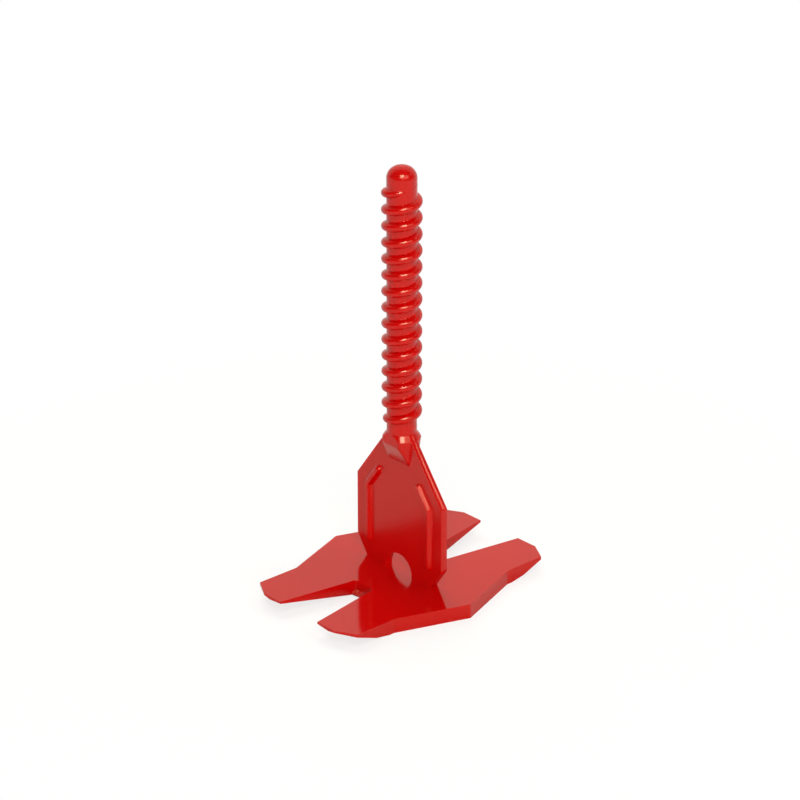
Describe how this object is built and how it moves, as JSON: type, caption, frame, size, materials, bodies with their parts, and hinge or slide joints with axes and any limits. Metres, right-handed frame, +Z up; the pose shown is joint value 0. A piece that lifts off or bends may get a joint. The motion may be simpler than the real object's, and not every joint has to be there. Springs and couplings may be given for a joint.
{
  "type": "tile levelling clip",
  "caption": "Moulded tile levelling clip with a notched base that sits under the tiles, a thin break-off plate for the joint and a threaded stem for a tightening cap.",
  "frame": {"origin": "centre of the flat middle of the underside, below the stem's axis", "axes": "+Z up the stem, X across the plate's width, Y through the plate's thickness, -Y the front face"},
  "size_m": [0.0362, 0.0486, 0.0797],
  "materials": {
    "red_plastic": "gloss"
  },
  "bodies": {
    "root": {"levelling_clip": "red_plastic"}
  },
  "joints": []
}
